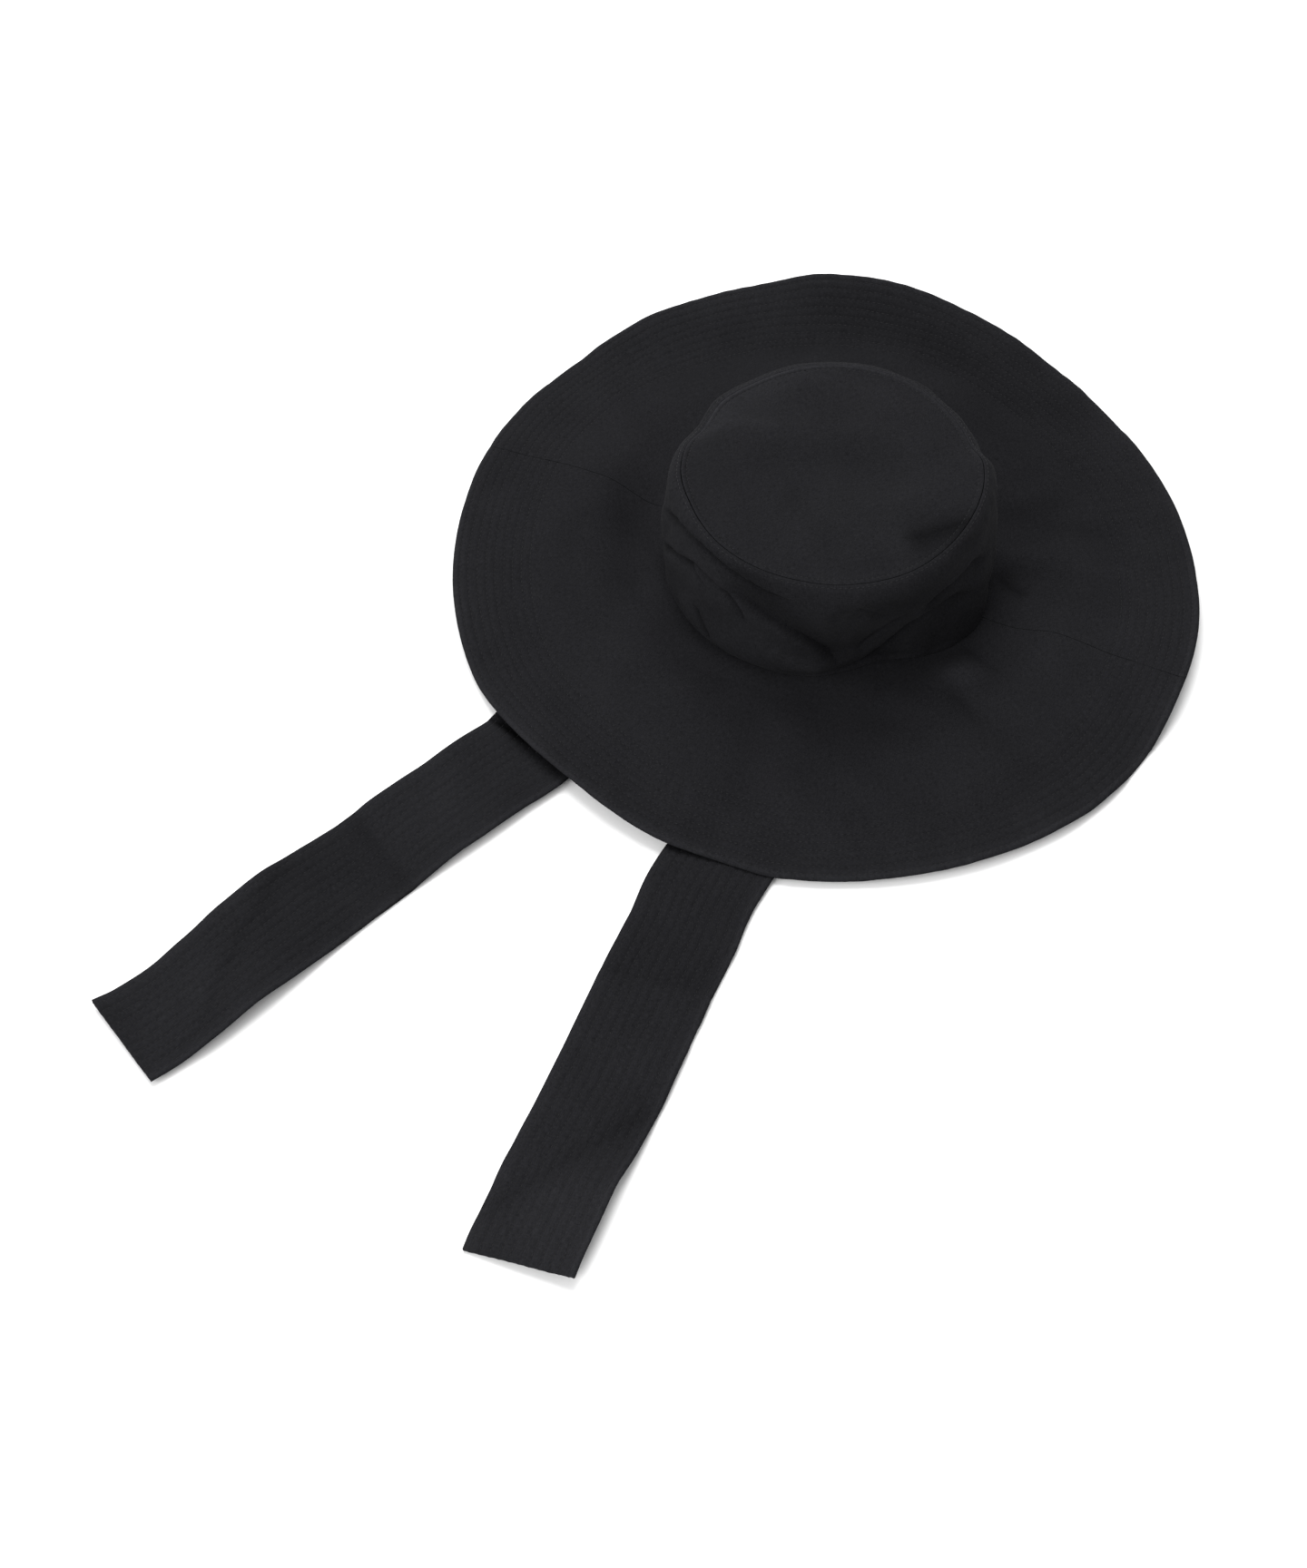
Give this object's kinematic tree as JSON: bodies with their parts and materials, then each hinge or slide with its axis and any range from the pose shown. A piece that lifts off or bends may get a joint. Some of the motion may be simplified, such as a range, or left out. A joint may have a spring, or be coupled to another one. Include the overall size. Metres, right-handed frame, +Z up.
{
  "type": "sun hat",
  "caption": "Wide-brimmed black cloth sun hat resting crown up, with a stitched brim band and two wide hemmed ties laid out in front",
  "frame": {"origin": "on the crown's axis, at the level of the surface that the hat rests on, where the head comes in", "axes": "+Z up through the crown, -Y to the front of the hat, +X to the right as the hat is seen from its front"},
  "size_m": [0.4569, 0.6996, 0.103],
  "materials": {
    "crown_cloth": "matt black plain-woven cloth with a faint cool sheen, puckered at its seams",
    "brim_cloth": "matt black plain-woven cloth, quilted by rings of stitching along the edge",
    "tie_cloth": "matt black plain-woven cloth, ribbed by lengthwise rows of stitching"
  },
  "bodies": {
    "root": {"crown_tip": "crown_cloth", "crown_side": "crown_cloth", "brim_front": "brim_cloth", "brim_back": "brim_cloth", "tie_left": "tie_cloth", "tie_right": "tie_cloth"}
  },
  "joints": []
}
